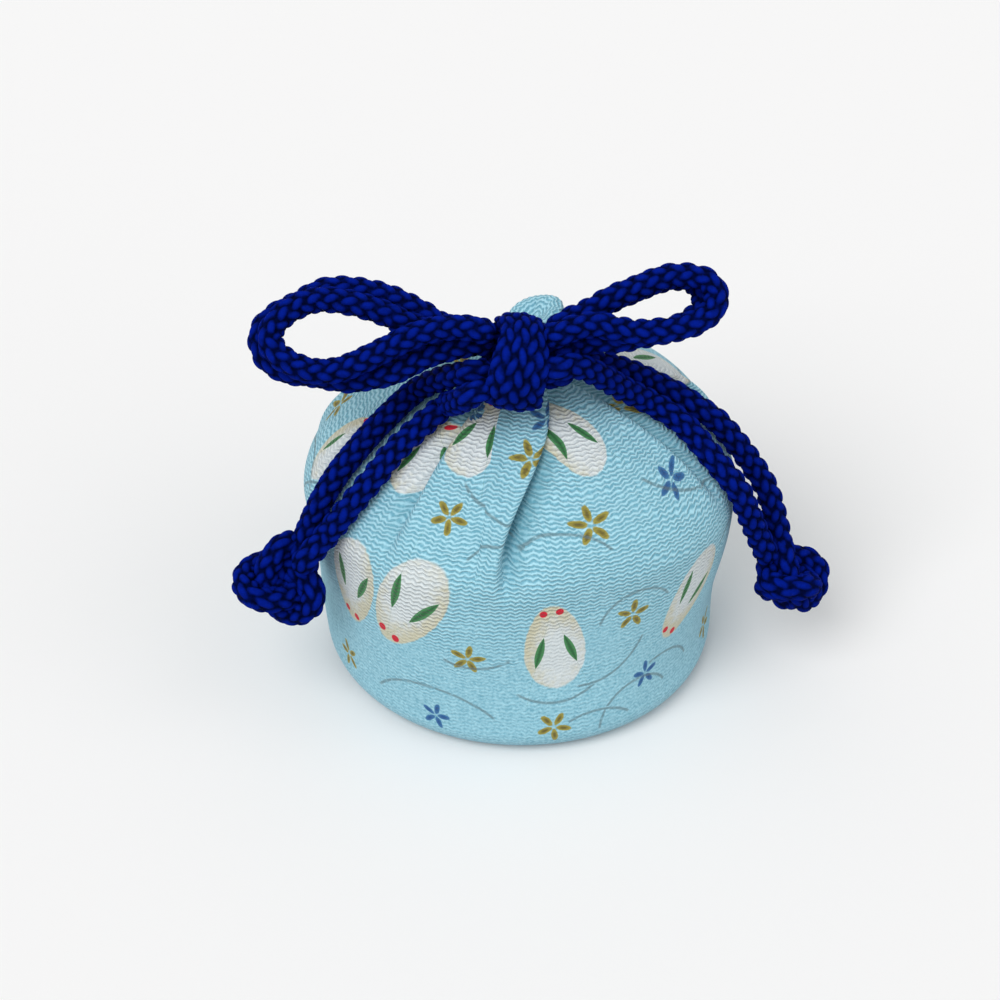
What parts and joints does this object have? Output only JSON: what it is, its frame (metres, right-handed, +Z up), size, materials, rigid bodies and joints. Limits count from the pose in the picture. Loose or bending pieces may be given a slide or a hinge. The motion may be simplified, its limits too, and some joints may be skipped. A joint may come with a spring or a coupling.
{
  "type": "scented sachet pouch",
  "caption": "Small stuffed crepe-cloth scent pouch, gathered at the neck and tied with a thick braided cord in a bow with doubled loops and knotted doubled tails.",
  "frame": {"origin": "a point on the flat base, in the middle of the pouch's side wall", "axes": "+Z up from the base to the bow, -Y towards the front where the bow is tied, +X to the viewer's right"},
  "size_m": [0.0817, 0.0555, 0.0625],
  "materials": {
    "crepe_cloth": "matt crepe weave, light blue with a small printed pattern",
    "braided_cord": "soft sheen round braid, royal blue"
  },
  "bodies": {
    "root": {"pouch_cloth": "crepe_cloth", "neck_turn": "braided_cord", "bow_knot": "braided_cord", "left_loop": "braided_cord", "left_inner_loop": "braided_cord", "right_loop": "braided_cord", "right_inner_loop": "braided_cord", "left_rear_tail": "braided_cord", "left_front_tail": "braided_cord", "right_rear_tail": "braided_cord", "right_front_tail": "braided_cord", "left_end_knot": "braided_cord", "right_end_knot": "braided_cord"}
  },
  "joints": []
}
